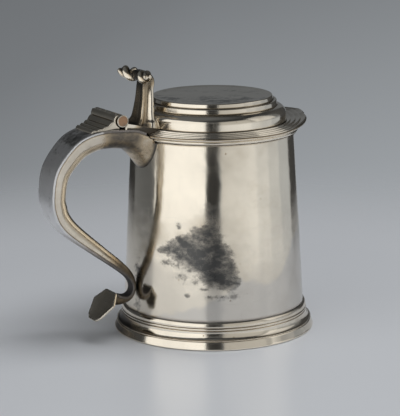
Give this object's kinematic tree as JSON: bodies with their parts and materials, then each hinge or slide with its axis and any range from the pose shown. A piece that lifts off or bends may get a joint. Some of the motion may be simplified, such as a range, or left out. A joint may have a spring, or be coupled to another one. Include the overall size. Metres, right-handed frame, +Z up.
{
  "type": "lidded tankard",
  "caption": "Silver drinking tankard with a tapered barrel on a moulded foot, a hollow scroll handle ending in a shield, and a stepped hinged lid with a thumbpiece.",
  "frame": {"origin": "on the table under the middle of the whole object, handle and peak included", "axes": "+Z up; +X from the handle towards the lid's peak; +Y across, to the left of someone who faces +X"},
  "size_m": [0.192, 0.1334, 0.1783],
  "materials": {
    "polished_silver": "polished, worn",
    "worn_silver": "satin from wear",
    "tarnished_silver": "tarnished",
    "coppery_plug": "worn",
    "pin_steel": "plain"
  },
  "bodies": {
    "tankard": {"barrel": "polished_silver", "bottom_plate": "worn_silver", "foot_moulding": "polished_silver", "lip_moulding": "polished_silver", "handle_strap": "worn_silver", "handle_belly": "polished_silver", "handle_shield": "tarnished_silver", "hinge_drop": "tarnished_silver", "handle_knuckle_1": "tarnished_silver", "handle_knuckle_2": "tarnished_silver", "handle_knuckle_3": "tarnished_silver", "hinge_pin": "pin_steel", "hinge_plug_near": "coppery_plug", "hinge_plug_far": "coppery_plug"},
    "lid": {"lid_shell": "polished_silver", "lid_bezel": "worn_silver", "lid_hinge_plate": "polished_silver", "lid_knuckle_1": "tarnished_silver", "lid_knuckle_2": "tarnished_silver", "thumbpiece_stem": "polished_silver", "thumbpiece_scroll_near": "polished_silver", "thumbpiece_scroll_far": "polished_silver"}
  },
  "joints": [
    {"name": "lid_hinge", "type": "hinge", "parent": "tankard", "child": "lid", "pos_m": [-0.04917, 0, 0.1484], "axis": [0, -1, 0], "range_deg": [0, 110]}
  ]
}
